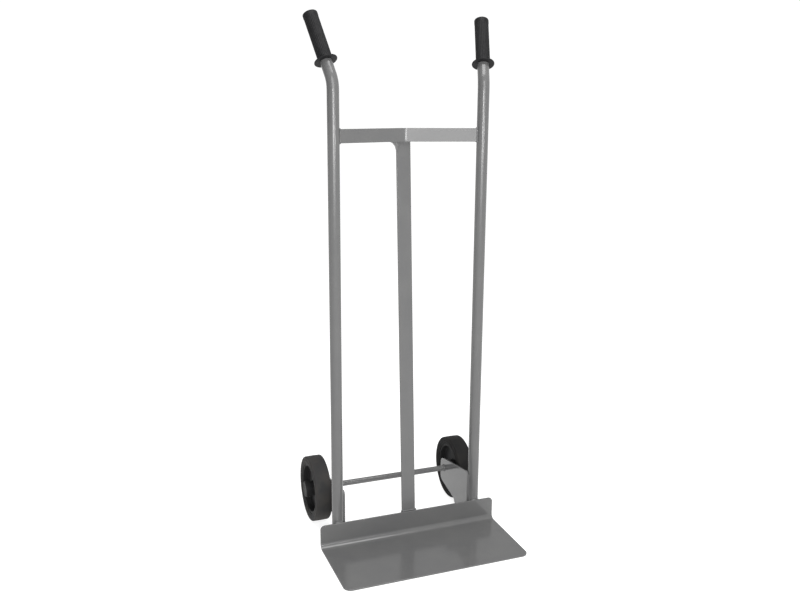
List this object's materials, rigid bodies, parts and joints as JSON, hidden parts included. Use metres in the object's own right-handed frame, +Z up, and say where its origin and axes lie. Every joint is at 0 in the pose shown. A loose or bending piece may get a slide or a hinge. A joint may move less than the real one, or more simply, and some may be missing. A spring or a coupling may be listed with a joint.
{
  "type": "crate trolley",
  "caption": "Tall two-wheeled hand truck of grey painted steel: bent toe plate, round tube rails, splayed handles with black guarded grips, set-back crossbar and solid rubber wheels.",
  "frame": {"origin": "on the floor, at the middle of the whole trolley's width and depth", "axes": "+Z up along the rails; the toe plate points along -Y and the wheels stand behind along +Y; +X runs from the left rail to the right rail, left and right as seen from the toe plate's side"},
  "size_m": [0.5, 0.487, 1.3612],
  "materials": {
    "grey_paint": "semi-gloss mid grey powder coat with faint orange peel",
    "black_grip": "satin black moulded vinyl with fine lengthwise lines",
    "zinc_steel": "dull zinc plate",
    "black_rubber": "matt black solid rubber, a little dusty",
    "black_plastic": "moulded black plastic with a fine grain",
    "pale_nylon": "smooth pale nylon"
  },
  "bodies": {
    "frame": {"toe_plate": "grey_paint", "left_rail": "grey_paint", "right_rail": "grey_paint", "crossbar": "grey_paint", "centre_post": "grey_paint", "left_wheel_bracket": "grey_paint", "right_wheel_bracket": "grey_paint", "axle": "grey_paint", "left_grip": "black_grip", "right_grip": "black_grip", "left_inner_washer": "zinc_steel", "right_inner_washer": "zinc_steel", "left_outer_washer": "zinc_steel", "right_outer_washer": "zinc_steel", "left_split_pin": "zinc_steel", "right_split_pin": "zinc_steel"},
    "left_wheel": {"left_tyre": "black_rubber", "left_wheel_rim": "black_plastic", "left_bearing": "pale_nylon", "left_hub_cap": "black_plastic"},
    "right_wheel": {"right_tyre": "black_rubber", "right_wheel_rim": "black_plastic", "right_bearing": "pale_nylon", "right_hub_cap": "black_plastic"}
  },
  "joints": [
    {"name": "left_wheel_spin", "type": "hinge", "parent": "frame", "child": "left_wheel", "pos_m": [-0.2128, 0.1535, 0.09], "axis": [1, 0, 0], "continuous": true},
    {"name": "right_wheel_spin", "type": "hinge", "parent": "frame", "child": "right_wheel", "pos_m": [0.2128, 0.1535, 0.09], "axis": [1, 0, 0], "continuous": true}
  ]
}
